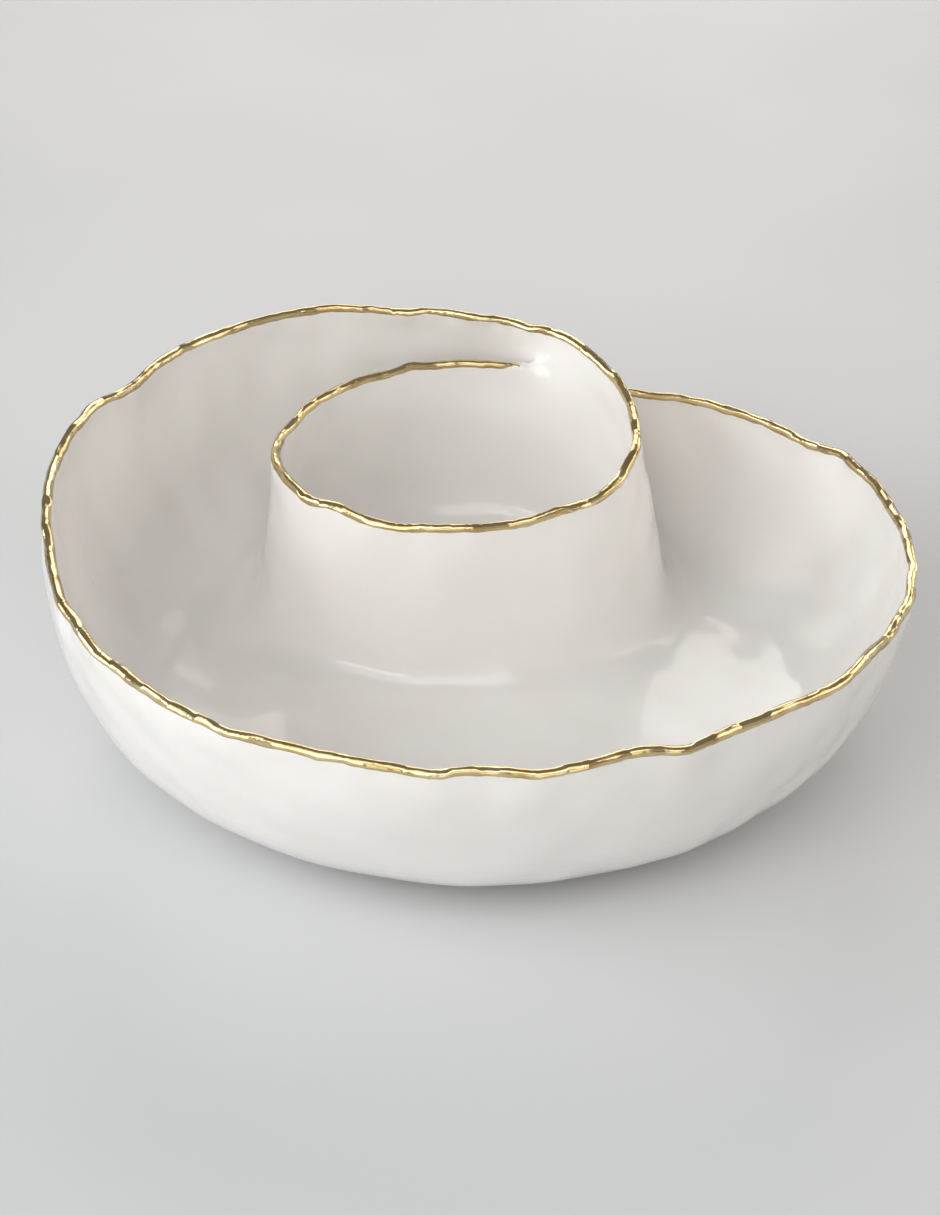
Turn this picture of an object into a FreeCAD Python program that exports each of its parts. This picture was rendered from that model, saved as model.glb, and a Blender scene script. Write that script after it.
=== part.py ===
"""Chip and dip server: a round porcelain bowl whose wall curls inward and closes on itself as a dip cup.

The wall is one continuous spiral.  It starts low at the back right, goes clockwise round the bowl seen
from above, climbs to its highest at the back, then leaves the round and turns in as the dip cup.
All sizes are in millimetres.  +Z is up, -Y is the front, and the origin is on the resting plane under
the middle of the whole server.
"""
import FreeCAD, Part
import math
import os
from collections import namedtuple

import Sketcher
from FreeCAD import Placement, Rotation, Vector

# Driving sizes: name, value and what it is.
SIZES = [
    ("bowl_centre_y", 4.0, "how far the bowl's axis stands behind the origin"),
    ("foot_outer_radius", 92.0, "outer radius of the unglazed foot"),
    ("foot_inner_radius", 84.0, "inner radius of the unglazed foot"),
    ("foot_height", 2.5, "how far the foot lifts the dish"),
    ("floor_top", 9.0, "height of the floor inside the bowl"),
    ("bend_centre_radius", 100.0, "radius at which the floor starts to turn up"),
    ("bend_radius", 59.0, "outer radius of the turn from floor to wall"),
    ("seam_height", 36.0, "height of the seam where the wall stands on the dish"),
    ("lip_half", 1.8, "half the thickness of the rounded lip"),
    ("lustre_skin", 0.3, "thickness that stands for the fired gold"),
    ("belly_radius", 163.0, "lip radius at which the outer wall ends upright"),
    ("lean_per_mm", 1.0, "degrees the wall leans for each millimetre of lip off that radius"),
    ("wall_root", 6.0, "height at which the inner walls are rooted in the floor"),
    ("flare_in", 14.0, "how far into the cup an inner wall's root reaches"),
    ("space_radius", 182.0, "radius of the space that the inner walls may fill"),
    ("space_top", 112.0, "height of the space that the inner walls may fill"),
    ("round_radius", 163.5, "the outer lip's radius at the front"),
    ("side_squeeze", 2.5, "how much less that radius is at the two sides"),
    ("start_turn", 87.0, "direction from the axis in degrees at which the spiral starts"),
    ("start_swing", 72.0, "degrees over which the start swings out to the round"),
    ("start_draw", 11.0, "how far the start is drawn in from the round"),
    ("end_turn", -272.0, "direction in degrees at which the outer wall becomes the curl"),
    ("end_swing", 34.0, "degrees over which the wall leaves the round"),
    ("end_draw", 23.5, "how far the wall is drawn in where the curl takes over"),
    ("curl_extra_lean", 16.0, "degrees that the curl's start leans in more than the rest of it"),
    ("curl_start_reach", -3.0, "reach of the root at the curl's start, under the wall's own foot"),
]
SIZE = {name: value for name, value, _ in SIZES}

# The outer wall's lip: direction from the axis in degrees, height, and climb in millimetres per degree
# going clockwise.
LIP_HEIGHTS = [
    (87, 60.0, 0.17),
    (0, 74.5, 0.17),
    (-60, 82.5, 0.03),
    (-90, 83.0, 0.04),
    (-180, 93.0, 0.13),
    (-240, 100.0, 0.0),
    (-272, 98.5, -0.05),
]
RING_NAMES = ("turn", "radius", "height")
RING_STEP = 15
LAST_STEP = 8
LAST_STEPS = 4

# The inner lip's turning points: x and y from the bowl's axis, the way the wall's outer face looks in
# degrees, the lip's height and its climb per millimetre, the wall's lean in, and how far out its root is.
Corner = namedtuple("Corner", "x y facing height climb lean reach")
CURL_START = Corner(4.9, 139.9, 88, 98.5, -0.04, 7.0, 22.0)
CUP_RIGHT = Corner(62.5, 63.0, 2, 87.0, -0.25, 7.0, 22.0)
CUP_FRONT = Corner(-5.0, 8.0, -90, 76.0, 0.0, 5.0, 18.0)
CUP_LEFT = Corner(-80.5, 68.0, -180, 78.0, 0.05, 5.5, 18.0)
CUP_BACK = Corner(-5.0, 131.0, -270, 82.0, 0.0, 5.0, 18.0)
CUP_END = Corner(36.0, 123.0, -296, 80.0, -0.1, 5.0, 16.0)

# The stretches between them: how far each end runs on before it bends, and the number of steps.
CURL_STRETCHES = [(CURL_START, CUP_RIGHT, 25, 46, 7)]
CUP_STRETCHES = [
    (CUP_RIGHT, CUP_FRONT, 33, 40, 6),
    (CUP_FRONT, CUP_LEFT, 42, 34, 6),
    (CUP_LEFT, CUP_BACK, 33, 39, 6),
    (CUP_BACK, CUP_END, 14, 14, 2),
]
INNER_NAMES = ("x", "y", "facing", "height", "lean", "reach")
BARE_CUP_STATIONS = 1  # the last one is inside the curl's wall, so it carries no gold
EXTRA_LEAN_FADE = 6  # how quickly the curl's extra lean dies away along it
NUDGE = 0.001  # share of a stretch over which its direction is taken

# How the freehand side curves leave their ends: degrees from upright, and pull as a share of the run.
SIDE_PULL = 1 / 3
THICKENING = 3.0
ROOT_LEAN = 68.0
LIP_PULL = 0.55
ROOT_PULL = 14.0
CURL_START_LEAN = 34.0
CURL_START_PULLS = (51.0, 43.0)

UPRIGHT_PLANE = "XZ_Plane"


def smooth_run(start, start_slope, end, end_slope, share):
    """A value part of the way along a smooth run; the slopes are per whole run."""
    rest = 1 - share
    leaving = rest**2 * ((1 + 2 * share) * start + share * start_slope)
    arriving = share**2 * ((1 + 2 * rest) * end - rest * end_slope)
    return leaving + arriving


def ring_radius(turn):
    """Nearly round, a little narrower from side to side, and drawn in at both ends."""
    radius = SIZE["round_radius"] - SIZE["side_squeeze"] * math.cos(math.radians(turn)) ** 2
    near_start = max(0, 1 - (SIZE["start_turn"] - turn) / SIZE["start_swing"])
    near_end = max(0, 1 - (turn - SIZE["end_turn"]) / SIZE["end_swing"])
    radius -= smooth_run(0, 0, SIZE["start_draw"], 0, near_start)
    return radius - SIZE["end_draw"] * near_end


def ring_height(turn):
    """The outer lip climbs smoothly from its low start to its highest at the back."""
    for (before, low, climb), (after, high, next_climb) in zip(LIP_HEIGHTS, LIP_HEIGHTS[1:]):
        if before >= turn >= after:
            run = before - after
            return smooth_run(low, climb * run, high, next_climb * run, (before - turn) / run)
    raise ValueError(f"the lip has no height at {turn} degrees")


def ring_rows():
    """The outer wall's stations: even steps round the bowl, and closer ones where it turns in."""
    start, end = SIZE["start_turn"], SIZE["end_turn"]
    last = [end + LAST_STEP * step for step in reversed(range(LAST_STEPS))]
    first_even = RING_STEP * math.floor((start - 1) / RING_STEP)
    even = range(first_even, math.ceil(last[0]), -RING_STEP)
    return [(turn, ring_radius(turn), ring_height(turn)) for turn in (start, *even, *last)]


def lip_place(stretch, share):
    """Where the inner lip is, part of the way along one of its stretches."""
    start, end, start_pull, end_pull, _ = stretch
    way, end_way = math.radians(start.facing - 90), math.radians(end.facing - 90)
    x = smooth_run(start.x, 3 * start_pull * math.cos(way), end.x, 3 * end_pull * math.cos(end_way), share)
    y = smooth_run(start.y, 3 * start_pull * math.sin(way), end.y, 3 * end_pull * math.sin(end_way), share)
    return x, y


def inner_rows(stretches, before=()):
    """An inner wall's stations, from its first turning point, or the wall before it, to its last."""
    rows = list(before)
    for stretch in stretches:
        start, end, _, _, steps = stretch
        run = math.hypot(end.x - start.x, end.y - start.y)
        for step in range(1 if rows else 0, steps + 1):
            share = step / steps
            x, y = lip_place(stretch, share)
            behind_x, behind_y = lip_place(stretch, share - NUDGE)
            ahead_x, ahead_y = lip_place(stretch, share + NUDGE)
            facing = math.degrees(math.atan2(ahead_y - behind_y, ahead_x - behind_x)) + 90
            height = smooth_run(start.height, start.climb * run, end.height, end.climb * run, share)
            lean = start.lean + (end.lean - start.lean) * share
            rows.append([x, y, facing, height, lean, start.reach + (end.reach - start.reach) * share])
    return rows


def curl_rows():
    """The curl's stations: its start carries on the outer wall's back, so it leans in more there."""
    rows = inner_rows(CURL_STRETCHES)
    for number, row in enumerate(rows):
        left = 1 - number / (len(rows) - 1)
        row[INNER_NAMES.index("lean")] += SIZE["curl_extra_lean"] * left**EXTRA_LEAN_FADE
    rows[0][INNER_NAMES.index("reach")] = SIZE["curl_start_reach"]
    return rows


CURL_ROWS = curl_rows()
WALLS = {
    "ring": (RING_NAMES, ring_rows()),
    "curl": (INNER_NAMES, CURL_ROWS),
    "cup": (INNER_NAMES, inner_rows(CUP_STRETCHES, CURL_ROWS[-1:])),
}


def fill_sheet(doc):
    """Put every size and station into one spreadsheet, each cell under its own alias."""
    rows = list(SIZES)
    for wall, (names, wall_rows) in WALLS.items():
        for number, station in enumerate(wall_rows):
            for name, value in zip(names, station):
                rows.append((f"{wall}_{name}_{number:02d}", value, f"{wall} wall, station {number}"))
    sheet = doc.addObject("Spreadsheet::Sheet", "sizes")
    for row, (alias, value, note) in enumerate(rows, start=1):
        sheet.set(f"A{row}", note)
        sheet.set(f"B{row}", str(value))
        sheet.setAlias(f"B{row}", alias)
    doc.recompute()
    return sheet


def new_body(doc, name):
    """A body on the bowl's axis, which stands a little behind the origin."""
    body = doc.addObject("PartDesign::Body", name)
    body.setExpression("Placement.Base.y", "sizes.bowl_centre_y")
    return body


def new_sketch(body, name):
    """A sketch on the body's own upright plane: across is X and up is Z."""
    plane = next(f for f in body.Origin.OriginFeatures if f.Role == UPRIGHT_PLANE)
    sketch = body.newObject("Sketcher::SketchObject", name)
    sketch.AttachmentSupport = [(plane, "")]
    sketch.MapMode = "FlatFace"
    return sketch


def add_loop(sketch, *shapes):
    """Draw a closed loop of edges.  A shape in a one-item list is walked from its end to its start."""
    walk = []
    for shape in shapes:
        backwards = isinstance(shape, list)
        edge = sketch.addGeometry(shape[0] if backwards else shape, False)
        walk.append((edge, 2, 1) if backwards else (edge, 1, 2))
    for (edge, _, end), (following, start, _) in zip(walk, walk[1:] + walk[:1]):
        sketch.addConstraint(Sketcher.Constraint("Coincident", edge, end, following, start))
    return [edge for edge, _, _ in walk]


def bind(sketch, expression, kind, *place_and_value):
    """Add one measured constraint that the spreadsheet drives."""
    index = sketch.addConstraint(Sketcher.Constraint(kind, *place_and_value))
    sketch.setExpression(f"Constraints[{index}]", expression)


def bind_point(sketch, edge, end, point, across, up):
    """Drive both coordinates of an edge's point: end is 1 for its start, 2 its end, 3 its centre."""
    bind(sketch, across, "DistanceX", -1, 1, edge, end, point.x)
    bind(sketch, up, "DistanceY", -1, 1, edge, end, point.y)


def line(start, end):
    return Part.LineSegment(start, end)


def arc(centre, radius, start, end):
    """A circular arc, anticlockwise from start to end in radians."""
    return Part.ArcOfCircle(Part.Circle(centre, Vector(0, 0, 1), radius), start, end)


def flank(start, start_way, start_pull, end, end_way, end_pull):
    """A freehand side as one cubic curve that leaves both ends along the given directions."""
    curve = Part.BSplineCurve()
    poles = [start, start + start_way * start_pull, end + end_way * end_pull, end]
    curve.buildFromPolesMultsKnots(poles, [4, 4], [0, 1], False, 3)
    return curve


def leaning(degrees):
    """The upward direction that leans outward by so many degrees."""
    return Vector(math.sin(math.radians(degrees)), math.cos(math.radians(degrees)), 0)


def revolve(body, sketch):
    """Turn the sketch once round the bowl's axis."""
    turned = body.newObject("PartDesign::Revolution", f"{body.Name}_turned")
    turned.Profile = sketch
    turned.ReferenceAxis = (sketch, ["V_Axis"])
    turned.Angle = 360.0


class Bend:
    """The turn from the flat base up to the seam, in the upright half plane."""

    def __init__(self, sheet, radius):
        self.radius = radius
        self.centre = Vector(sheet.bend_centre_radius, sheet.foot_height + sheet.bend_radius, 0)
        self.bottom = self.centre - Vector(0, radius, 0)
        drop = self.centre.y - sheet.seam_height
        self.top = Vector(self.centre.x + math.sqrt(radius**2 - drop**2), sheet.seam_height, 0)
        self.end_angle = math.atan2(-drop, self.top.x - self.centre.x)
        self.top_way = Vector(-math.sin(self.end_angle), math.cos(self.end_angle), 0)

    def curve(self):
        return arc(self.centre, self.radius, -math.pi / 2, self.end_angle)


def bends(sheet):
    """The dish's outer and inner turns, which share one centre."""
    thickness = sheet.floor_top - sheet.foot_height
    return Bend(sheet, sheet.bend_radius), Bend(sheet, sheet.bend_radius - thickness)


def seam_radius(bend_radius):
    """The sheet's own formula for the radius at which a turn of that radius meets the seam."""
    drop = "(sizes.foot_height + sizes.bend_radius - sizes.seam_height)"
    return f"sizes.bend_centre_radius + sqrt(({bend_radius}) ^ 2 - {drop} ^ 2)"


OUTER_SEAM = seam_radius("sizes.bend_radius")
INNER_SEAM = seam_radius("sizes.bend_radius - sizes.floor_top + sizes.foot_height")


def make_base_dish(doc, sheet):
    """The dish: a flat floor that turns up all round to the seam."""
    body = new_body(doc, "base_dish")
    sketch = new_sketch(body, "dish_profile")
    outer, inner = bends(sheet)
    under = Vector(0, outer.bottom.y, 0)
    floor = Vector(0, inner.bottom.y, 0)
    edges = add_loop(
        sketch,
        line(floor, under),
        line(under, outer.bottom),
        outer.curve(),
        line(outer.top, inner.top),
        [inner.curve()],
        line(inner.bottom, floor),
    )
    axis, underside, outer_turn, _, inner_turn, _ = edges
    bind_point(sketch, axis, 1, floor, "0", "sizes.floor_top")
    bind_point(sketch, axis, 2, under, "0", "sizes.foot_height")
    bind_point(sketch, underside, 2, outer.bottom, "sizes.bend_centre_radius", "sizes.foot_height")
    bind_point(sketch, outer_turn, 3, outer.centre, "sizes.bend_centre_radius",
               "sizes.foot_height + sizes.bend_radius")
    bind(sketch, "sizes.seam_height", "DistanceY", -1, 1, outer_turn, 2, outer.top.y)
    bind_point(sketch, inner_turn, 1, inner.bottom, "sizes.bend_centre_radius", "sizes.floor_top")
    sketch.addConstraint(Sketcher.Constraint("Coincident", outer_turn, 3, inner_turn, 3))
    bind(sketch, "sizes.seam_height", "DistanceY", -1, 1, inner_turn, 2, inner.top.y)
    revolve(body, sketch)
    return body


def make_foot_ring(doc, sheet):
    """The unglazed foot, which the server stands on."""
    body = new_body(doc, "foot_ring")
    sketch = new_sketch(body, "foot_profile")
    low, high = Vector(sheet.foot_inner_radius, 0, 0), Vector(sheet.foot_outer_radius, sheet.foot_height, 0)
    low_out, high_in = Vector(high.x, low.y, 0), Vector(low.x, high.y, 0)
    sole, _, seat, _ = add_loop(
        sketch, line(low, low_out), line(low_out, high), line(high, high_in), line(high_in, low)
    )
    bind_point(sketch, sole, 1, low, "sizes.foot_inner_radius", "0")
    bind_point(sketch, sole, 2, low_out, "sizes.foot_outer_radius", "0")
    bind_point(sketch, seat, 1, high, "sizes.foot_outer_radius", "sizes.foot_height")
    bind_point(sketch, seat, 2, high_in, "sizes.foot_inner_radius", "sizes.foot_height")
    revolve(body, sketch)
    return body


def make_bowl_outline(doc, sheet):
    """Everything inside the bowl's outline, from its underside to above its lip."""
    body = new_body(doc, "bowl_outline")
    sketch = new_sketch(body, "outline_profile")
    outer, _ = bends(sheet)
    corners = [
        Vector(sheet.space_radius, sheet.seam_height, 0),
        Vector(sheet.space_radius, sheet.space_top, 0),
        Vector(0, sheet.space_top, 0),
        Vector(0, outer.bottom.y, 0),
    ]
    edges = add_loop(
        sketch,
        outer.curve(),
        line(outer.top, corners[0]),
        line(corners[0], corners[1]),
        line(corners[1], corners[2]),
        line(corners[2], corners[3]),
        line(corners[3], outer.bottom),
    )
    turn, ledge, side, roof, centreline, _ = edges
    bind_point(sketch, turn, 1, outer.bottom, "sizes.bend_centre_radius", "sizes.foot_height")
    bind_point(sketch, turn, 3, outer.centre, "sizes.bend_centre_radius",
               "sizes.foot_height + sizes.bend_radius")
    bind(sketch, "sizes.seam_height", "DistanceY", -1, 1, turn, 2, outer.top.y)
    bind_point(sketch, ledge, 2, corners[0], "sizes.space_radius", "sizes.seam_height")
    bind_point(sketch, side, 2, corners[1], "sizes.space_radius", "sizes.space_top")
    bind_point(sketch, roof, 2, corners[2], "0", "sizes.space_top")
    bind_point(sketch, centreline, 2, corners[3], "0", "sizes.foot_height")
    revolve(body, sketch)
    return body


class Station:
    """One upright section of the wall: where it stands, its lip, and the cells that drive it."""

    def __init__(self, wall, number, row):
        cell = f"sizes.{wall}_{{}}_{number:02d}".format
        self.name = f"{wall}_{number:02d}"
        self.first = number == 0
        self.x, self.y, self.across, self.place = 0.0, 0.0, 0.0, {}
        self.lip_across, self.lip_up = "0", cell("height") + " - sizes.lip_half"
        if wall == "ring":
            self.turn, self.across, self.height = row
            self.lip_across = cell("radius")
            self.place["Rotation.Angle"] = cell("turn")
        else:
            self.x, self.y, self.turn, self.height, self.lean, self.reach = row
            self.reach_cell = cell("reach")
            self.place = {"Base.x": cell("x"), "Base.z": "-" + cell("y"), "Rotation.Angle": cell("facing")}

    def new_sketch(self, body):
        """A sketch that stands on this station, with up along +Z and across pointing outward."""
        sketch = new_sketch(body, f"{body.Name}_at_{self.name}")
        turn = Rotation(Vector(0, 1, 0), self.turn)
        sketch.AttachmentOffset = Placement(Vector(self.x, 0, -self.y), turn)
        for place, expression in self.place.items():
            sketch.setExpression(f"AttachmentOffset.{place}", expression)
        return sketch

    def lip_centre(self, sheet):
        return Vector(self.across, self.height - sheet.lip_half, 0)


def stations(wall):
    return [Station(wall, number, row) for number, row in enumerate(WALLS[wall][1])]


def draw_wall_section(sketch, sheet, station, foot, sides):
    """A wall section: a level foot, two freehand sides and a rounded lip.

    foot holds the foot's two corners and their expressions, outer first; sides holds, outer first, the
    side's upward directions at the foot and at the lip, and its two pulls.
    """
    centre, half = station.lip_centre(sheet), sheet.lip_half
    out_lip, in_lip = centre + Vector(half, 0, 0), centre - Vector(half, 0, 0)
    (out_foot, out_across), (in_foot, in_across), up = foot
    (out_way, out_top_way, out_pulls), (in_way, in_top_way, in_pulls) = sides
    base, _, lip, _ = add_loop(
        sketch,
        line(in_foot, out_foot),
        flank(out_foot, out_way, out_pulls[0], out_lip, out_top_way * -1, out_pulls[1]),
        arc(centre, half, 0, math.pi),
        flank(in_lip, in_top_way * -1, in_pulls[1], in_foot, in_way, in_pulls[0]),
    )
    bind_point(sketch, base, 1, in_foot, in_across, up)
    bind_point(sketch, base, 2, out_foot, out_across, up)
    bind_point(sketch, lip, 3, centre, station.lip_across, station.lip_up)
    bind(sketch, "sizes.lip_half", "Radius", lip, half)


def draw_ring_section(sketch, sheet, station):
    """The outer wall stands on the dish's seam and follows its slope before it straightens."""
    outer, inner = bends(sheet)
    top_way = leaning((station.across - sheet.belly_radius) * sheet.lean_per_mm)
    pull = (station.height - sheet.seam_height) * SIDE_PULL
    draw_wall_section(
        sketch,
        sheet,
        station,
        ((outer.top, OUTER_SEAM), (inner.top, INNER_SEAM), "sizes.seam_height"),
        ((outer.top_way, top_way, (pull, pull)), (inner.top_way, top_way, (pull, pull))),
    )


def draw_inner_section(sketch, sheet, station):
    """The curl and the cup stand on the floor with a flare on both sides."""
    out_foot = Vector(station.reach, sheet.wall_root, 0)
    in_foot = Vector(-sheet.flare_in, sheet.wall_root, 0)
    pull = (station.height - sheet.wall_root) * LIP_PULL
    out_top, in_top = leaning(-station.lean), leaning(THICKENING - station.lean)
    draw_wall_section(
        sketch,
        sheet,
        station,
        ((out_foot, station.reach_cell), (in_foot, "-sizes.flare_in"), "sizes.wall_root"),
        (
            (leaning(-ROOT_LEAN), out_top, (ROOT_PULL, pull)),
            (leaning(ROOT_LEAN), in_top, (ROOT_PULL, pull)),
        ),
    )


def draw_curl_section(sketch, sheet, station):
    """The curl's first section carries on the outer wall's rounded back; the others are inner ones."""
    if not station.first:
        draw_inner_section(sketch, sheet, station)
        return
    out_foot = Vector(station.reach, sheet.wall_root, 0)
    in_foot = Vector(-sheet.flare_in, sheet.wall_root, 0)
    top = leaning(-station.lean)
    pull = (station.height - sheet.wall_root) * LIP_PULL
    draw_wall_section(
        sketch,
        sheet,
        station,
        ((out_foot, station.reach_cell), (in_foot, "-sizes.flare_in"), "sizes.wall_root"),
        (
            (leaning(CURL_START_LEAN), top, CURL_START_PULLS),
            (leaning(ROOT_LEAN), top, (ROOT_PULL, pull)),
        ),
    )


def draw_lustre_section(sketch, sheet, station):
    """The gold over the lip: a thin half round that lies on it."""
    centre = station.lip_centre(sheet)
    half, skin = sheet.lip_half, sheet.lustre_skin
    near, far = Vector(half, 0, 0), Vector(half + skin, 0, 0)
    _, over, _, under = add_loop(
        sketch,
        line(centre + near, centre + far),
        arc(centre, half + skin, 0, math.pi),
        line(centre - far, centre - near),
        [arc(centre, half, 0, math.pi)],
    )
    bind_point(sketch, over, 3, centre, station.lip_across, station.lip_up)
    sketch.addConstraint(Sketcher.Constraint("Coincident", over, 3, under, 3))
    bind(sketch, "sizes.lip_half", "Radius", under, half)
    bind(sketch, "sizes.lip_half + sizes.lustre_skin", "Radius", over, half + skin)


def make_loft(doc, sheet, name, places, draw_section):
    """A body lofted through one section at each station."""
    body = new_body(doc, name)
    sketches = []
    for station in places:
        sketch = station.new_sketch(body)
        draw_section(sketch, sheet, station)
        sketches.append(sketch)
    loft = body.newObject("PartDesign::AdditiveLoft", f"{name}_loft")
    loft.Profile, loft.Sections = sketches[0], sketches[1:]
    return body


def combine(doc, kind, name, base, tool):
    """One solid cut by another, or what two solids share."""
    result = doc.addObject(kind, name)
    result.Base, result.Tool = base, tool
    return result


def make_parts(doc, sheet):
    """Every piece of the server, in the order in which it would be built up."""
    ring, curl, cup = stations("ring"), stations("curl"), stations("cup")
    base_dish = make_base_dish(doc, sheet)
    foot_ring = make_foot_ring(doc, sheet)
    outer_wall = make_loft(doc, sheet, "outer_wall", ring, draw_ring_section)

    outline = make_bowl_outline(doc, sheet)
    above_dish = combine(doc, "Part::Cut", "space_above_dish", outline, base_dish)
    inside = combine(doc, "Part::Cut", "space_inside_wall", above_dish, outer_wall)
    curl_form = make_loft(doc, sheet, "curl_form", curl, draw_curl_section)
    curl_wall = combine(doc, "Part::Common", "curl_wall", curl_form, inside)
    cup_form = make_loft(doc, sheet, "cup_form", cup, draw_inner_section)
    cup_inside = combine(doc, "Part::Common", "cup_inside", cup_form, inside)
    cup_wall = combine(doc, "Part::Cut", "cup_wall", cup_inside, curl_wall)

    gilded = ring + curl[1:] + cup[1:-BARE_CUP_STATIONS]
    gold = make_loft(doc, sheet, "gold_rim_band", gilded, draw_lustre_section)
    return [base_dish, foot_ring, outer_wall, curl_wall, cup_wall, gold]


def check(doc, parts):
    """Stop if any object failed or any piece isn't one sound solid."""
    for item in doc.Objects:
        bad = {"Invalid", "Error"} & set(item.State)
        if bad:
            raise RuntimeError(f"{item.Name} is {sorted(bad)}")
    for part in parts:
        shape = part.Shape
        if shape.isNull() or not shape.isValid() or len(shape.Solids) != 1:
            raise RuntimeError(f"{part.Name} isn't one valid solid")


def main():
    doc = FreeCAD.newDocument("chip_and_dip_server")
    sheet = fill_sheet(doc)
    parts = make_parts(doc, sheet)
    for part in parts:
        part.Label = part.Name
    doc.recompute()
    check(doc, parts)
    os.makedirs("parts", exist_ok=True)
    for part in parts:
        part.Shape.exportStep(os.path.join("parts", f"{part.Label}.step"))
        box = part.Shape.BoundBox
        print(f"{part.Label}: {part.Shape.Volume / 1000:.1f} cm3, "
              f"{box.XLength:.1f} x {box.YLength:.1f} x {box.ZLength:.1f} mm")


main()
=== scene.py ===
"""Looks of the chip and dip server, in metres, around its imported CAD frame.

The real server is one casting of porcelain.  Its clay parts are fused here into one skin, which gets the
shallow dimples and the torn, rippled lip of hand-formed ware, and the fired gold is laid over the lip.
"""

import math

import bpy
import numpy as np
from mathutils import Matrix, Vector
from mathutils.bvhtree import BVHTree


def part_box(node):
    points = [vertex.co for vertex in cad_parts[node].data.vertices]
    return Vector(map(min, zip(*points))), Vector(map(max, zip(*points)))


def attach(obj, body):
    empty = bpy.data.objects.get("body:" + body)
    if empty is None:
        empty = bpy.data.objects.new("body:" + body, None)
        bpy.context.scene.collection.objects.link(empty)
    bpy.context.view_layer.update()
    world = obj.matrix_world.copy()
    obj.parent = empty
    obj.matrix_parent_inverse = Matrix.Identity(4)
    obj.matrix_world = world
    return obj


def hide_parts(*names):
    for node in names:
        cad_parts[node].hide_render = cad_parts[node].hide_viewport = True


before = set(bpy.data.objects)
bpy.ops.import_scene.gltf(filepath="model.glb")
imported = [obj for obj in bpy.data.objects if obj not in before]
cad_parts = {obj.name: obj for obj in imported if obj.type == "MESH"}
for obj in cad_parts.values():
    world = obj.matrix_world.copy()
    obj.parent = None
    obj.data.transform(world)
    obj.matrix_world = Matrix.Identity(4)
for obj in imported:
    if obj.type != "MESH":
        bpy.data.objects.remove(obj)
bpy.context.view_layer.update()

MM = 0.001
CLAY_NODES = ("base_dish", "outer_wall", "curl_wall", "cup_wall")
GOLD_NODE = "gold_rim_band"
AXIS_Y = sum(corner.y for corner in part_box("foot_ring")) / 2


def from_axis(x, y, z=0):
    """A point given in millimetres from the bowl's own axis."""
    return np.array((x * MM, AXIS_Y + y * MM, z * MM))


BOWL_AXIS = from_axis(0, 0)
CUP_AXIS = from_axis(-9, 66)
CUP_END = from_axis(15, 129)
CUP_END_TURN = 69

# The skin, and how its voxels' steps are evened out: a pull, a slightly larger push back, and the rounds.
VOXEL = 0.8 * MM
MOST_TRIANGLES = 190_000
EVEN_PULL, EVEN_PUSH = 0.5, -0.52
EVEN_ROUNDS = 14

# The soft fillet at the roots of the curl and the cup; below LEVEL_BELOW the underside stays level.
FILLET_TOP = 36 * MM
FILLET_REACH = 16 * MM
FILLET_ROUNDS = 500
LEVEL_BELOW = 9 * MM

# Behind the cup's end the two walls are pinched together.  The corners of the clay that fills the gap
# there, from the bowl's axis, each with its own height; and the places where walls melt together.
PINCH = (
    (15, 135, 80),
    (24, 132, 85),
    (34, 127, 88),
    (46, 118, 88),
    (42, 113, 80),
    (33, 119, 79.5),
    (25, 124, 80),
    (16, 128, 80),
)
PINCH_FOOT = 12
PINCH_RISE = (10 * MM, 30 * MM)
MELTED_PLACES = ((from_axis(37, 119), 23 * MM), (from_axis(6, 147), 14 * MM))
MELTED_DEPTH = (2 * MM, 8 * MM)
MELTING_ROUNDS = 600

# Ripples of the lip: the way to each in degrees about the wall's own axis, then in millimetres its half
# width along the lip, how far the lip rises there, and how far it leans out.
RIPPLE_DEPTH = 17 * MM
LIP_ABOVE = 8 * MM
LIP_LIFT = 0.6 * MM
RIPPLES = {
    "outer_wall": [
        (55, 20, 1.0, 0.5),
        (45, 5, 0.5, 0.0),
        (35, 10, -1.0, -0.5),
        (28, 10, 1.5, 1.0),
        (20, 15, 1.0, 1.0),
        (5, 10, 0.5, 0.5),
        (-5, 15, 0.0, 1.0),
        (-15, 15, -0.5, 1.5),
        (-25, 10, -0.5, 1.0),
        (-40, 20, -0.5, 1.5),
        (-50, 15, 0.5, -0.5),
        (-58, 10, 0.5, -0.5),
        (-64, 10, -1.5, 1.0),
        (-70, 15, 1.0, -2.0),
        (-82, 10, -1.0, 0.5),
        (-88, 8, 0.5, -0.5),
        (-95, 10, -1.0, 0.5),
        (-120, 8, -1.0, 0.5),
        (-130, 40, -0.5, 2.5),
        (-145, 15, -1.0, 1.5),
        (-155, 10, -0.5, 1.5),
        (-168, 10, 0.0, -1.0),
        (175, 15, 0.5, 1.5),
        (165, 20, 0.5, 3.0),
        (158, 12, 1.5, 1.5),
        (150, 10, -1.0, -1.0),
        (138, 20, 0.5, 1.0),
        (110, 15, 1.0, 0.5),
        (102, 10, -1.0, -0.5),
    ],
    "curl_wall": [
        (75, 5, -0.5, 0.0),
        (65, 5, -1.0, -0.5),
        (50, 10, 0.5, 0.5),
        (30, 10, -0.5, 0.0),
        (0, 10, 0.0, -1.0),
    ],
    "cup_wall": [
        (-20, 15, 1.0, -2.0),
        (-35, 10, 0.5, -0.5),
        (-55, 15, 2.0, -1.0),
        (-80, 10, 0.5, 0.0),
        (-110, 10, -1.0, 0.5),
        (-120, 10, -0.5, 0.5),
        (-133, 6, 1.0, -0.5),
        (-145, 6, -1.0, 0.5),
        (165, 15, -1.0, -1.5),
        (110, 6, 1.0, 0.5),
        (80, 15, 0.5, 0.0),
    ],
}

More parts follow.
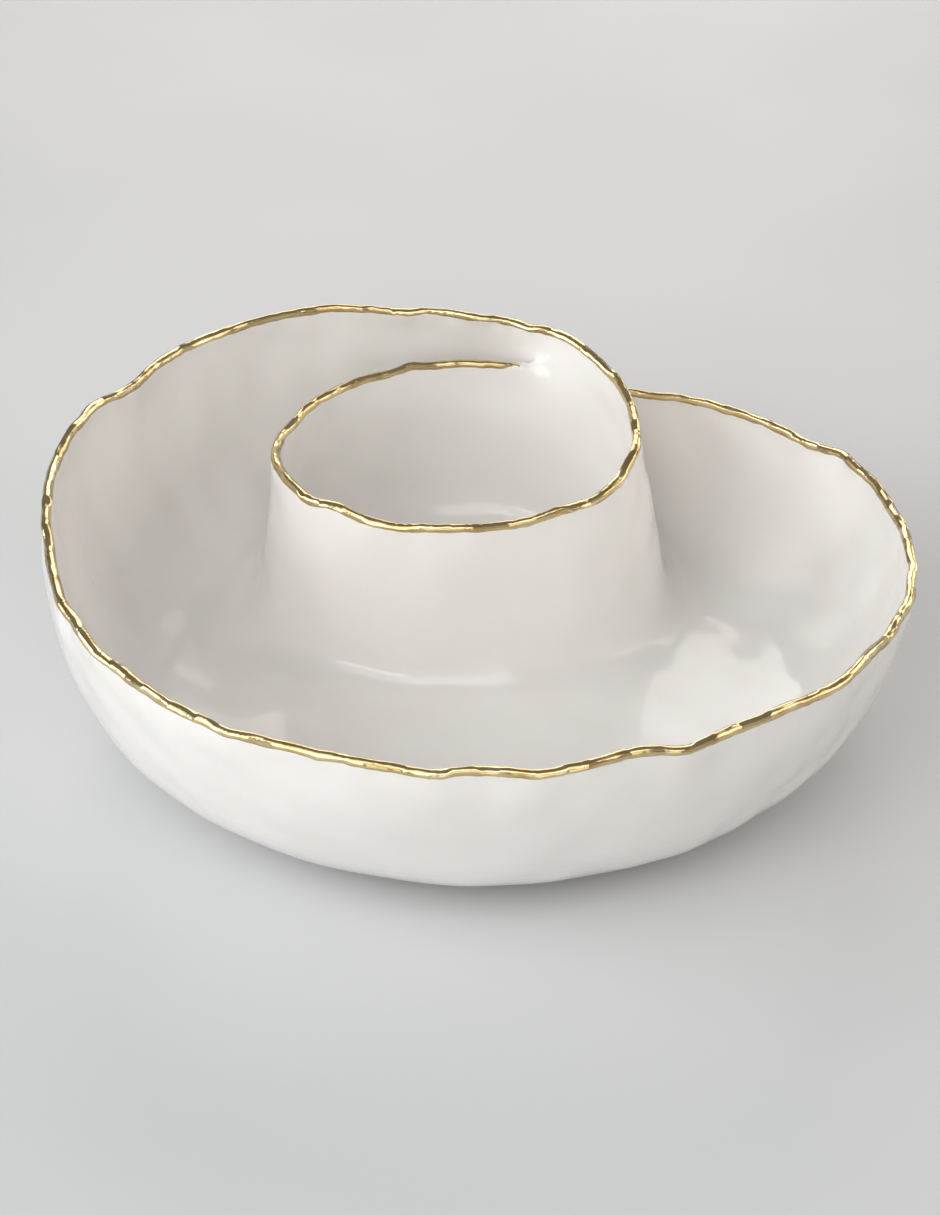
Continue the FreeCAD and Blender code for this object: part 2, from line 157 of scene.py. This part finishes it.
# Waves of the hand-formed surface: wavelength and height, both in millimetres, and their random seeds.
WAVES = 16
WALL_DIMPLES = ((48, 0.75), (26, 0.34))
DIMPLE_SEED = 100
FLOOR_SHARE = 0.35
SMOOTH_BESIDE_LIP = 8 * MM
LIP_TREMBLE = ((13, 0.16), (6, 0.07))
TREMBLE_SEED = 10
TREMBLE_DEPTH = 6 * MM

# The gold: how far down the lip its edge runs, how much that edge wanders, and its thickness, which it
# reaches GOLD_SHOULDER in from the edge.
GOLD_DROP = 0.75 * MM
GOLD_WANDER = 0.22 * MM
GOLD_WANDER_WAVES = (13 * MM, 5 * MM)
GOLD_WANDER_SEED = 201
GOLD_LEAST = 0.5 * MM
GOLD_EDGE_THICK = 0.02 * MM
GOLD_THICK = 0.14 * MM
GOLD_SHOULDER = 0.6 * MM
GOLD_ROOT = 0.12 * MM

# At the cup's end the gold tapers away, and under the gold, well inside its edge, the clay is lower.
GOLD_TAPER_RUN = 12 * MM
GOLD_TAPER_TOP = 0.5 * MM
GOLD_TAPER = 0.3
CLAY_UNDER_GOLD = 0.1 * MM
UNDER_GOLD_EDGE = 0.4 * MM


# ---------------------------------------------------------------- mesh helpers
def numbers(collection, name, width, kind=float):
    """One property of a mesh's elements as an array with a row for each."""
    values = np.empty(len(collection) * width, kind)
    collection.foreach_get(name, values)
    return values.reshape(-1, width)


def mesh_arrays(mesh):
    """A mesh's points and triangles."""
    mesh.calc_loop_triangles()
    return numbers(mesh.vertices, "co", 3), numbers(mesh.loop_triangles, "vertices", 3, int)


def new_object(name, points, faces, material):
    """A smooth-shaded object from arrays or lists, with its material."""
    mesh = bpy.data.meshes.new(name)
    mesh.from_pydata(np.asarray(points).tolist(), [], [tuple(map(int, face)) for face in faces])
    mesh.polygons.foreach_set("use_smooth", [True] * len(mesh.polygons))
    mesh.materials.append(material)
    piece = bpy.data.objects.new(name, mesh)
    bpy.context.scene.collection.objects.link(piece)
    return piece


def apply_modifiers(piece):
    """Put the modified mesh in the place of the piece's own."""
    graph = bpy.context.evaluated_depsgraph_get()
    mesh = bpy.data.meshes.new_from_object(piece.evaluated_get(graph))
    old = piece.data
    piece.modifiers.clear()
    piece.data = mesh
    bpy.data.meshes.remove(old)


def unit(rows):
    """Each row scaled to length one."""
    return rows / np.maximum(np.linalg.norm(rows, axis=1), 1e-12)[:, None]


def corner_normals(points, triangles):
    """The skin's outward direction at each point."""
    first, second, third = (points[triangles[:, k]] for k in range(3))
    faces = np.cross(second - first, third - first)
    sums = [
        sum(np.bincount(triangles[:, k], faces[:, axis], len(points)) for k in range(3))
        for axis in range(3)
    ]
    return unit(np.stack(sums, axis=1))


def relax(points, edges, share):
    """Draw each point towards the middle of its neighbours by its own share."""
    one, other = edges[:, 0], edges[:, 1]
    neighbours = np.bincount(edges.ravel(), minlength=len(points))
    count = len(points)
    middle = [
        np.bincount(one, points[other, axis], count) + np.bincount(other, points[one, axis], count)
        for axis in range(3)
    ]
    return points + (np.stack(middle, axis=1) / neighbours[:, None] - points) * share


def even_out(points, edges):
    """Take out the voxels' steps without shrinking the skin."""
    for _ in range(EVEN_ROUNDS):
        points = relax(points, edges, EVEN_PULL)
        points = relax(points, edges, EVEN_PUSH)
    return points


def soften(points, edges, share, rounds):
    """Smooth one place of the skin, each point by its own share from 0 to 1."""
    touched = edges[(share[edges] > 0.01).any(axis=1)]
    place, local = np.unique(touched, return_inverse=True)
    patch, strength = points[place], share[place, None] * 0.5
    strength[share[place] <= 0.01] = 0
    for _ in range(rounds):
        patch = relax(patch, local.reshape(-1, 2), strength)
    points[place] = patch


def lumps(points, wavelength, seed):
    """A smooth random field of about -1 to 1, with lumps about a wavelength apart."""
    random = np.random.default_rng(seed)
    ways = unit(random.normal(size=(WAVES, 3)))
    pace = math.tau / (wavelength * random.uniform(0.75, 1.35, WAVES))
    phases = random.uniform(0, math.tau, WAVES)
    return np.sin(points @ (ways * pace[:, None]).T + phases).sum(axis=1) / math.sqrt(WAVES)


def fade(distance, reach):
    """1 at no distance, falling softly to nothing past the reach."""
    return np.exp(-((distance / reach) ** 2))


# ---------------------------------------------------------------- porcelain
def joined(*nodes):
    """Several CAD nodes' points and triangles as one mesh."""
    points, faces, count = [], [], 0
    for node in nodes:
        own_points, own_faces = mesh_arrays(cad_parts[node].data)
        points.append(own_points)
        faces.append(own_faces + count)
        count += len(own_points)
    return np.vstack(points), np.vstack(faces)


def pinched_gap():
    """The clay that fills the gap behind the cup's end: an upright prism."""
    count = len(PINCH)
    points = [from_axis(x, y, PINCH_FOOT) for x, y, _ in PINCH] + [from_axis(*corner) for corner in PINCH]
    sides = [(k, (k + 1) % count, (k + 1) % count + count, k + count) for k in range(count)]
    return points, sides + [tuple(range(count))[::-1], tuple(range(count, 2 * count))]


def fuse_clay(material):
    """The CAD's clay parts, fused into one skin of even quads."""
    points, faces = joined(*CLAY_NODES)
    extra_points, extra_faces = pinched_gap()
    extra_faces = [tuple(corner + len(points) for corner in face) for face in extra_faces]
    piece = new_object(
        "porcelain_server", np.vstack((points, extra_points)), faces.tolist() + extra_faces, material
    )
    remesh = piece.modifiers.new("fuse", "REMESH")
    remesh.mode = "VOXEL"
    remesh.voxel_size = VOXEL
    apply_modifiers(piece)
    return piece


def distances(points, where, nodes, far):
    """How far some points are from CAD nodes; the other points, and those past the limit, get the limit."""
    tree = BVHTree.FromPolygons(*(rows.tolist() for rows in joined(*nodes)))
    result = np.full(len(points), far)
    for index in np.flatnonzero(where):
        found = tree.find_nearest(points[index], far)[3]
        if found is not None:
            result[index] = found
    return result


def lip_point(node, axis, turn):
    """The highest point of a wall in one direction from its axis."""
    points = mesh_arrays(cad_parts[node].data)[0]
    way = np.array((math.cos(math.radians(turn)), math.sin(math.radians(turn))))
    offsets = points[:, :2] - axis[:2]
    ahead = offsets @ way
    aside = abs(offsets @ (-way[1], way[0]))
    near = points[(ahead > 0) & (aside < 3 * MM)]
    return near[near[:, 2].argmax()], np.array((*way, 0))


def ripple_lip(points, depth):
    """How far the hand-made ripples move each point."""
    moves = np.full_like(points, (0, 0, LIP_LIFT))
    for node, ripples in RIPPLES.items():
        axis = BOWL_AXIS if node == "outer_wall" else CUP_AXIS
        for turn, width, rise, lean in ripples:
            crest, outward = lip_point(node, axis, turn)
            share = fade(np.linalg.norm(points[:, :2] - crest[:2], axis=1), width * MM)
            moves += share[:, None] * (outward * lean + (0, 0, rise)) * MM
    return moves * fade(depth, RIPPLE_DEPTH)[:, None]


def tremble_lip(points, depth):
    """The small unevenness of the torn lip, the same on both faces of the wall."""
    flat = points * (1, 1, 0)
    moves = np.zeros_like(points)
    for number, (wavelength, height) in enumerate(LIP_TREMBLE):
        for axis in range(3):
            moves[:, axis] += lumps(flat, wavelength * MM, TREMBLE_SEED * number + axis) * height * MM
    return moves * fade(depth, TREMBLE_DEPTH)[:, None]


def dimple(points, normals, depth):
    """Shallow dents of the fingers, in and out along the skin."""
    heights = sum(
        lumps(points, wavelength * MM, DIMPLE_SEED + number) * height * MM
        for number, (wavelength, height) in enumerate(WALL_DIMPLES)
    )
    upright = 1 - abs(normals[:, 2]) * (1 - FLOOR_SHARE)
    off_table = np.clip((points[:, 2] - LEVEL_BELOW) / LEVEL_BELOW, 0, 1)
    inside = (normals[:, 2] > 0.5) & (points[:, 2] < FILLET_TOP)
    room = np.where(inside, 1, off_table)
    return normals * (heights * upright * room * (1 - fade(depth, SMOOTH_BESIDE_LIP)))[:, None]


def soften_roots(points, triangles, edges):
    """The curl and the cup grow out of the floor with a wide soft fillet."""
    height = points[:, 2]
    above = corner_normals(points, triangles)[:, 2] > -0.3
    near = (height > LEVEL_BELOW - MM) & (height < FILLET_TOP) & above
    gap = distances(points, near, ("curl_wall", "cup_wall"), 3 * FILLET_REACH)
    share = fade(gap, FILLET_REACH) * np.clip(2 - 2 * height / FILLET_TOP, 0, 1) * near
    soften(points, edges, share, FILLET_ROUNDS)


def melt_walls(points, edges, depth):
    """The cup's end and the spiral's low start melt into the walls beside them."""
    share = sum(
        fade(np.linalg.norm(points[:, :2] - place[:2], axis=1), reach) for place, reach in MELTED_PLACES
    )
    share *= np.interp(points[:, 2], PINCH_RISE, (0, 1)) * np.interp(depth, MELTED_DEPTH, (0, 1))
    soften(points, edges, share, MELTING_ROUNDS)


def make_porcelain(material):
    """The fused skin with its hand-made surface; returns the piece and what the gold needs."""
    piece = fuse_clay(material)
    points, triangles = mesh_arrays(piece.data)
    edges = numbers(piece.data.edges, "vertices", 2, int)
    depth = distances(points, points[:, 2] > LIP_ABOVE, (GOLD_NODE,), 3 * RIPPLE_DEPTH)
    rest = points.copy()
    points = even_out(points, edges)
    soften_roots(points, triangles, edges)
    melt_walls(points, edges, depth)
    normals = corner_normals(points, triangles)
    points += dimple(points, normals, depth)
    points += ripple_lip(points, depth) + tremble_lip(rest, depth)
    under = CLAY_UNDER_GOLD * (gold_edge(rest, depth) < -UNDER_GOLD_EDGE)
    clay = points - corner_normals(points, triangles) * under[:, None]
    piece.data.vertices.foreach_set("co", clay.ravel())
    fewer = piece.modifiers.new("fewer", "DECIMATE")
    fewer.ratio = MOST_TRIANGLES / len(triangles)
    fewer.use_collapse_triangulate = True
    apply_modifiers(piece)
    piece.data.polygons.foreach_set("use_smooth", [True] * len(piece.data.polygons))
    return piece, (points, triangles, depth, rest)


# ---------------------------------------------------------------- gold
def cut_at_zero(values, triangles):
    """The part of a skin where the value is below zero.

    Returns the new triangles, and for each new point the two old ones and how far it lies between them.
    """
    corners, faces = {}, []

    def corner(one, other=None):
        """The number of the new point at an old one, or where the edge between two old ones is cut."""
        if other is None:
            key, share = (one, one), 0.0
        else:
            key = (min(one, other), max(one, other))
            share = values[key[0]] / (values[key[0]] - values[key[1]])
        return corners.setdefault(key, (len(corners), share))[0]

    for triangle in triangles[(values[triangles] < 0).any(axis=1)].tolist():
        loop = []
        for one, other in zip(triangle, triangle[1:] + triangle[:1]):
            if values[one] < 0:
                loop.append(corner(one))
            if (values[one] < 0) != (values[other] < 0):
                loop.append(corner(one, other))
        faces += [(loop[0], loop[k], loop[k + 1]) for k in range(1, len(loop) - 1)]
    ends = np.array(list(corners))
    shares = np.array([share for _, share in corners.values()])
    return np.array(faces), ends, shares


def gold_edge(rest, depth):
    """How far each point is outside the gold's painted edge, and inside it where negative."""
    long_wave, short_wave = GOLD_WANDER_WAVES
    wander = lumps(rest, long_wave, GOLD_WANDER_SEED) + 0.5 * lumps(rest, short_wave, GOLD_WANDER_SEED + 1)
    below = depth - np.maximum(GOLD_DROP + GOLD_WANDER * wander, GOLD_LEAST)
    run = np.linalg.norm(rest[:, :2] - CUP_END[:2], axis=1)
    drop = lip_point("cup_wall", CUP_AXIS, CUP_END_TURN)[0][2] - rest[:, 2]
    tapered = np.where(run < GOLD_TAPER_RUN, drop - GOLD_TAPER_TOP - run * GOLD_TAPER, -1)
    return np.maximum(below, tapered)


def make_gold(material, skin):
    """The fired gold: a thin closed shell over the lip, whose edge wanders down both faces."""
    points, triangles, depth, rest = skin
    normals = corner_normals(points, triangles)
    inside = gold_edge(rest, depth)
    faces, ends, shares = cut_at_zero(inside, triangles)

    def between(rows):
        """The values at the new points."""
        part = shares[:, None] if rows.ndim > 1 else shares
        return rows[ends[:, 0]] * (1 - part) + rows[ends[:, 1]] * part

    base, way = between(points), unit(between(normals))
    lift = GOLD_EDGE_THICK + GOLD_THICK * np.sqrt(np.clip(-between(inside) / GOLD_SHOULDER, 0, 1))
    shell = np.vstack((base + way * lift[:, None], base - way * GOLD_ROOT))
    count = len(base)
    sides = {(one, other) for face in faces.tolist() for one, other in zip(face, face[1:] + face[:1])}
    rim = [(one, other) for one, other in sides if (other, one) not in sides]
    walls = [(other, one, one + count, other + count) for one, other in sorted(rim)]
    lining = (faces[:, ::-1] + count).tolist()
    return new_object("gold_rim", shell, faces.tolist() + lining + walls, material)


# ---------------------------------------------------------------- materials
def new_material(name, **values):
    """A principled material with the given socket values; returns it and its shader."""
    material = bpy.data.materials.new(name)
    material.use_nodes = True
    shader = material.node_tree.nodes["Principled BSDF"]
    for socket, value in values.items():
        shader.inputs[socket.replace("_", " ")].default_value = value
    return material, shader


class Weave:
    """Short calls that add shader nodes to one material, in the object's own coordinates."""

    def __init__(self, material):
        self.nodes, self.links = material.node_tree.nodes, material.node_tree.links
        self.place = self.nodes.new("ShaderNodeTexCoord").outputs["Object"]

    def join(self, output, socket):
        """Link an output to a socket."""
        self.links.new(output, socket)

    def noise(self, size, detail=2.0, roughness=0.5):
        """Noise with lumps of about that size in metres."""
        node = self.nodes.new("ShaderNodeTexNoise")
        node.inputs["Scale"].default_value = 1 / size
        node.inputs["Detail"].default_value = detail
        node.inputs["Roughness"].default_value = roughness
        self.join(self.place, node.inputs["Vector"])
        return node.outputs["Fac"]

    def spread(self, value, low, high, start=0.3, end=0.7):
        """Map the middle of a noise to a range."""
        node = self.nodes.new("ShaderNodeMapRange")
        for socket, number in (("From Min", start), ("From Max", end), ("To Min", low), ("To Max", high)):
            node.inputs[socket].default_value = number
        self.join(value, node.inputs["Value"])
        return node.outputs["Result"]

    def ramp(self, value, *stops):
        """Colours along a value: each stop is a position and a colour."""
        node = self.nodes.new("ShaderNodeValToRGB")
        elements = node.color_ramp.elements
        while len(elements) < len(stops):
            elements.new(0.5)
        for element, (position, colour) in zip(elements, stops):
            element.position, element.color = position, (*colour, 1)
        self.join(value, node.inputs["Fac"])
        return node.outputs["Color"]

    def facets(self, size, tilt):
        """The surface's normal, tipped a little differently on each patch of about that size."""
        cells = self.nodes.new("ShaderNodeTexVoronoi")
        cells.feature = "SMOOTH_F1"
        cells.inputs["Scale"].default_value = 1 / size
        cells.inputs["Smoothness"].default_value = 0.25
        self.join(self.place, cells.inputs["Vector"])
        result = cells.outputs["Color"]
        for operation, value in (("SUBTRACT", (0.5, 0.5, 0.5)), ("MULTIPLY", (tilt, tilt, tilt))):
            node = self.nodes.new("ShaderNodeVectorMath")
            node.operation = operation
            node.inputs[1].default_value = value
            self.join(result, node.inputs[0])
            result = node.outputs["Vector"]
        for operation in ("ADD", "NORMALIZE"):
            node = self.nodes.new("ShaderNodeVectorMath")
            node.operation = operation
            self.join(result, node.inputs[0])
            if operation == "ADD":
                self.join(self.nodes.new("ShaderNodeNewGeometry").outputs["Normal"], node.inputs[1])
            result = node.outputs["Vector"]
        return result

    def bump(self, height, distance, strength, under=None):
        """The normal of a surface raised by a height, over another normal where one is given."""
        node = self.nodes.new("ShaderNodeBump")
        node.inputs["Distance"].default_value = distance
        node.inputs["Strength"].default_value = strength
        self.join(height, node.inputs["Height"])
        if under is not None:
            self.join(under, node.inputs["Normal"])
        return node.outputs["Normal"]


def porcelain_material():
    """White glaze over white porcelain: glossy, a little thicker and thinner from place to place."""
    material, shader = new_material(
        "glazed_porcelain",
        IOR=1.5,
        Subsurface_Weight=0.12,
        Subsurface_Radius=(0.004, 0.003, 0.002),
        Subsurface_Scale=1.0,
        Coat_Weight=0.35,
        Coat_Roughness=0.05,
        Coat_IOR=1.5,
    )
    weave = Weave(material)
    cloud = weave.noise(60 * MM, 3)
    colour = weave.ramp(cloud, (0.3, (0.875, 0.85, 0.81)), (0.7, (0.89, 0.87, 0.835)))
    weave.join(colour, shader.inputs["Base Color"])
    weave.join(weave.spread(weave.noise(22 * MM, 3), 0.14, 0.24), shader.inputs["Roughness"])
    pooled = weave.bump(weave.noise(7 * MM, 1), 0.10 * MM, 0.35)
    peel = weave.bump(weave.noise(1.6 * MM, 2), 0.02 * MM, 0.25, pooled)
    weave.join(peel, shader.inputs["Normal"])
    weave.join(pooled, shader.inputs["Coat Normal"])
    return material


def gold_material():
    """Brushed-on gold lustre: bright, with the brush's lumps and thin warm places."""
    material, shader = new_material("gold_lustre", Metallic=1.0)
    weave = Weave(material)
    cloud = weave.noise(9 * MM, 3)
    colour = weave.ramp(
        cloud,
        (0.3, (0.62, 0.45, 0.20)),
        (0.5, (0.73, 0.57, 0.30)),
        (0.7, (0.82, 0.68, 0.41)),
    )
    weave.join(colour, shader.inputs["Base Color"])
    weave.join(weave.spread(weave.noise(4 * MM, 3), 0.13, 0.25), shader.inputs["Roughness"])
    strokes = weave.bump(weave.noise(4 * MM, 0), 0.2 * MM, 0.35, weave.facets(11 * MM, 0.45))
    grain = weave.bump(weave.noise(0.9 * MM, 3), 0.02 * MM, 0.3, strokes)
    weave.join(grain, shader.inputs["Normal"])
    return material


def bisque_material():
    """The unglazed foot: dry, fine-grained and faintly warm."""
    material, shader = new_material("bare_bisque", IOR=1.45, Subsurface_Weight=0.05)
    weave = Weave(material)
    cloud = weave.noise(8 * MM, 4, 0.6)
    colour = weave.ramp(cloud, (0.3, (0.74, 0.71, 0.65)), (0.7, (0.80, 0.78, 0.73)))
    weave.join(colour, shader.inputs["Base Color"])
    weave.join(weave.spread(weave.noise(2 * MM, 4), 0.6, 0.85), shader.inputs["Roughness"])
    weave.join(weave.bump(weave.noise(0.5 * MM, 4, 0.7), 0.08 * MM, 0.5), shader.inputs["Normal"])
    return material


def floor_material():
    """Pale satin table top."""
    material, shader = new_material("pale_table", IOR=1.45)
    weave = Weave(material)
    colour = weave.ramp(weave.noise(0.5, 2), (0.3, (0.695, 0.70, 0.705)), (0.7, (0.71, 0.715, 0.72)))
    weave.join(colour, shader.inputs["Base Color"])
    weave.join(weave.spread(weave.noise(0.2, 2), 0.40, 0.48), shader.inputs["Roughness"])
    return material


# ---------------------------------------------------------------- stage
FLOOR_HALF = 6.0
CAMERA_ELEVATION = 32
CAMERA_DISTANCE = 1.2
CAMERA_AIM = from_axis(0, 0, 40)


def make_floor():
    """A wide level table top."""
    half = FLOOR_HALF
    points = [(-half, -half, 0), (half, -half, 0), (half, half, 0), (-half, half, 0)]
    new_object("floor", points, [(0, 1, 2, 3)], floor_material())


def make_camera():
    """The camera looks down at the bowl from the front."""
    elevation = math.radians(CAMERA_ELEVATION)
    camera = bpy.data.objects.new("camera", bpy.data.cameras.new("camera"))
    bpy.context.scene.collection.objects.link(camera)
    back = np.array((0, -math.cos(elevation), math.sin(elevation)))
    camera.location = CAMERA_AIM + back * CAMERA_DISTANCE
    camera.rotation_euler = (math.pi / 2 - elevation, 0, 0)
    camera.data.sensor_fit = "VERTICAL"
    camera.data.sensor_height = 36
    camera.data.lens = 93
    camera.data.shift_x = -0.0077
    camera.data.shift_y = 0.009
    camera.data.clip_end = 50
    bpy.context.scene.camera = camera


# Soft panels that face the bowl: the way to each in degrees, its height in degrees, its power in watts
# and its tint.
PANEL_DISTANCE = 2.6
PANEL_SIZE = 1.5
PANEL_AIM = Vector(from_axis(0, 0, 50))
COOL, PLAIN, WARM = (0.965, 0.985, 1.0), (1.0, 1.0, 1.0), (1.0, 0.955, 0.90)
PANELS = {
    "key_left": (180, 22, 25, COOL),
    "key_left_front": (225, 22, 20, COOL),
    "key_left_high": (225, 50, 10, COOL),
    "fill_front_high": (270, 50, 12, PLAIN),
    "fill_front_low": (270, 12, 8, PLAIN),
    "fill_front_right": (315, 22, 2, WARM),
    "rim_right": (0, 22, 12, WARM),
    "rim_back_right": (45, 22, 12, WARM),
    "rim_back": (90, 22, 15, WARM),
}
AMBIENT = 0.2


def make_panel(name, turn, rise, power, tint):
    """A square soft light on a dome round the bowl, aimed at its middle."""
    lamp = bpy.data.lights.new(name, "AREA")
    lamp.shape, lamp.size, lamp.energy, lamp.color = "SQUARE", PANEL_SIZE, power, tint
    light = bpy.data.objects.new(name, lamp)
    flat = math.cos(math.radians(rise))
    way = Vector((math.cos(math.radians(turn)) * flat, math.sin(math.radians(turn)) * flat, 0))
    way.z = math.sin(math.radians(rise))
    light.location = way * PANEL_DISTANCE
    aim = PANEL_AIM - light.location
    light.rotation_euler = aim.to_track_quat("-Z", "Y").to_euler()
    bpy.context.scene.collection.objects.link(light)


def make_lights():
    """An even pale studio with the soft panels in it."""
    world = bpy.data.worlds.new("studio")
    world.use_nodes = True
    background = world.node_tree.nodes["Background"]
    background.inputs["Color"].default_value = (1, 1, 1, 1)
    background.inputs["Strength"].default_value = AMBIENT
    bpy.context.scene.world = world
    for name, panel in PANELS.items():
        make_panel(name, *panel)


make_camera()
make_lights()
make_floor()
bpy.context.scene.view_settings.view_transform = "Standard"

porcelain, skin = make_porcelain(porcelain_material())
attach(porcelain, "root")
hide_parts(*CLAY_NODES)

gold = make_gold(gold_material(), skin)
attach(gold, "root")
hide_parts(GOLD_NODE)

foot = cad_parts["foot_ring"].data.materials
foot.clear()
foot.append(bisque_material())
